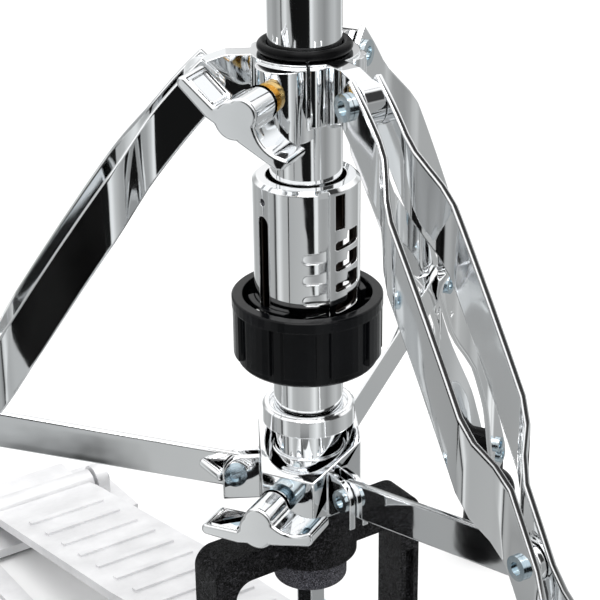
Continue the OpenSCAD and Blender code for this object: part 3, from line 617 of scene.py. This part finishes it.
# Low flag in front of the foot of the tube
LOW_FLAG_LEFT, LOW_FLAG_RIGHT = 34, 58
LOW_FLAG_TOP, LOW_FLAG_BOTTOM = -28.43, -38
# Dark panel above and to the right: the leg strips' upper edges mirror it
PANEL_LEFT, PANEL_RIGHT, PANEL_BOTTOM, PANEL_TOP = 104, 156, 12, 64
PANEL_DARKNESS = 0.96
# Ceiling of soft light: it starts at one elevation and is full at the other
CEILING_FROM, CEILING_FULL = 8, 26
CEILING_LIGHT = 1.15
# What the eye and matt surfaces see in every direction
PLAIN_WHITE = 1.05


def studio_world():
    """White to the eye and to matt surfaces. Mirrors see panels, flags and a ceiling."""
    studio = bpy.data.worlds.new("studio")
    studio.use_nodes = True
    tree = studio.node_tree
    tree.nodes.clear()

    def math_node(operation, first, second=None, third=None, clamp=False):
        node = tree.nodes.new("ShaderNodeMath")
        node.operation = operation
        node.use_clamp = clamp
        for socket, value in zip(node.inputs, (first, second, third)):
            if isinstance(value, bpy.types.NodeSocket):
                tree.links.new(value, socket)
            elif value is not None:
                socket.default_value = value
        return node.outputs["Value"]

    def past(value, edge, softness):
        """0 below the edge, rising to 1 above it."""
        return math_node("MULTIPLY", math_node("SUBTRACT", value, edge), softness, clamp=True)

    def before(value, edge, softness):
        """1 below the edge, falling to 0 at it."""
        return math_node("MULTIPLY", math_node("SUBTRACT", edge, value), softness, clamp=True)

    def both(first, second):
        return math_node("MULTIPLY", first, second)

    def scaled(colour, factor):
        node = tree.nodes.new("ShaderNodeVectorMath")
        node.operation = "SCALE"
        tree.links.new(colour, node.inputs[0])
        tree.links.new(factor, node.inputs["Scale"])
        return node.outputs["Vector"]

    def mixed(factor, first, second):
        node = tree.nodes.new("ShaderNodeMix")
        node.data_type = "RGBA"
        tree.links.new(factor, node.inputs["Factor"])
        for key, value in (("A", first), ("B", second)):
            if isinstance(value, bpy.types.NodeSocket):
                tree.links.new(value, node.inputs[key])
            else:
                node.inputs[key].default_value = (value, value, value, 1)
        return node.outputs["Result"]

    coord = tree.nodes.new("ShaderNodeTexCoord")
    split = tree.nodes.new("ShaderNodeSeparateXYZ")
    tree.links.new(coord.outputs["Generated"], split.inputs["Vector"])
    to_degrees = 180 / math.pi
    azimuth = both(math_node("ARCTAN2", split.outputs["Y"], split.outputs["X"]), to_degrees)
    azimuth = math_node("WRAP", azimuth, 360 + RING_START, RING_START)
    elevation = both(math_node("ARCSINE", split.outputs["Z"]), to_degrees)

    ring = tree.nodes.new("ShaderNodeValToRGB")
    stops = ring.color_ramp.elements
    while len(stops) < len(STUDIO_RING):
        stops.new(0.5)
    for stop, (degrees, level) in zip(stops, STUDIO_RING):
        stop.position = (degrees - RING_START) / 360
        stop.color = (*(level * part for part in RING_TINT), 1)
    tree.links.new(math_node("DIVIDE", math_node("SUBTRACT", azimuth, RING_START), 360), ring.inputs["Fac"])

    lean = math_node("MULTIPLY_ADD", elevation, FLAG_LEAN, FLAG_LEAN_AT_HORIZON)
    tall_flag = both(both(past(azimuth, math_node("MAXIMUM", lean, FLAG_LEFT), 0.5),
                          before(azimuth, FLAG_RIGHT, 0.5)), before(elevation, FLAG_TOP, 0.25))
    low_flag = both(both(past(azimuth, LOW_FLAG_LEFT, 0.5), before(azimuth, LOW_FLAG_RIGHT, 0.5)),
                    both(before(elevation, LOW_FLAG_TOP, 0.7), past(elevation, LOW_FLAG_BOTTOM, 0.25)))
    flags = math_node("MAXIMUM", tall_flag, low_flag)
    around = scaled(ring.outputs["Color"], math_node("MULTIPLY_ADD", flags, -FLAG_DARKNESS, 1))

    ceiling = tree.nodes.new("ShaderNodeMapRange")
    ceiling.interpolation_type = "SMOOTHSTEP"
    tree.links.new(elevation, ceiling.inputs["Value"])
    for key, number in (("From Min", CEILING_FROM), ("From Max", CEILING_FULL), ("To Min", 0), ("To Max", 1)):
        ceiling.inputs[key].default_value = number
    above = mixed(ceiling.outputs["Result"], around, CEILING_LIGHT)

    panel = both(both(past(azimuth, PANEL_LEFT, 0.12), before(azimuth, PANEL_RIGHT, 0.12)),
                 both(past(elevation, PANEL_BOTTOM, 0.15), before(elevation, PANEL_TOP, 0.15)))
    mirrored = scaled(above, math_node("MULTIPLY_ADD", panel, -PANEL_DARKNESS, 1))

    path = tree.nodes.new("ShaderNodeLightPath")
    background = tree.nodes.new("ShaderNodeBackground")
    tree.links.new(mixed(path.outputs["Is Glossy Ray"], PLAIN_WHITE, mirrored), background.inputs["Color"])
    output = tree.nodes.new("ShaderNodeOutputWorld")
    tree.links.new(background.outputs["Background"], output.inputs["Surface"])
    return studio


scene.world = studio_world()


def black_flag(name, azimuth, near, far, low, high):
    """Upright black card in line with the tube's axis. Only mirrors see it, and the tube sees it edge on."""
    material = new_material(name)
    g = Graph(material)
    g.surface(Base_Color=g.ramp(g.noise(20, 2), [(0.3, (0.004, 0.004, 0.004)), (0.7, (0.01, 0.01, 0.01))]),
              Roughness=0.9, Specular_IOR_Level=0.0)
    away = Vector((math.cos(azimuth), math.sin(azimuth), 0))
    card = quad(name, [away * reach + Vector((0, 0, z))
                       for reach, z in ((near, low), (far, low), (far, high), (near, high))], material)
    card.visible_camera = False
    card.visible_diffuse = False
    card.visible_shadow = False
    card.visible_transmission = False


black_flag("flag_beside_leg", math.radians(20), near=0.12, far=0.42, low=0.16, high=0.34)


def area_light(name, place, target, size, power):
    data = bpy.data.lights.new(name, "AREA")
    data.shape = "RECTANGLE"
    data.size, data.size_y = size
    data.energy = power
    lamp = bpy.data.objects.new(name, data)
    scene.collection.objects.link(lamp)
    lamp.location = place
    lamp.rotation_euler = (Vector(target) - Vector(place)).to_track_quat("-Z", "Y").to_euler()
    return lamp


area_light("top_light", place=(0.2, 0.3, 2.2), target=(0, 0, 0.3), size=(1.6, 1.6), power=25)

scene.view_settings.view_transform = "Standard"
scene.view_settings.look = "None"
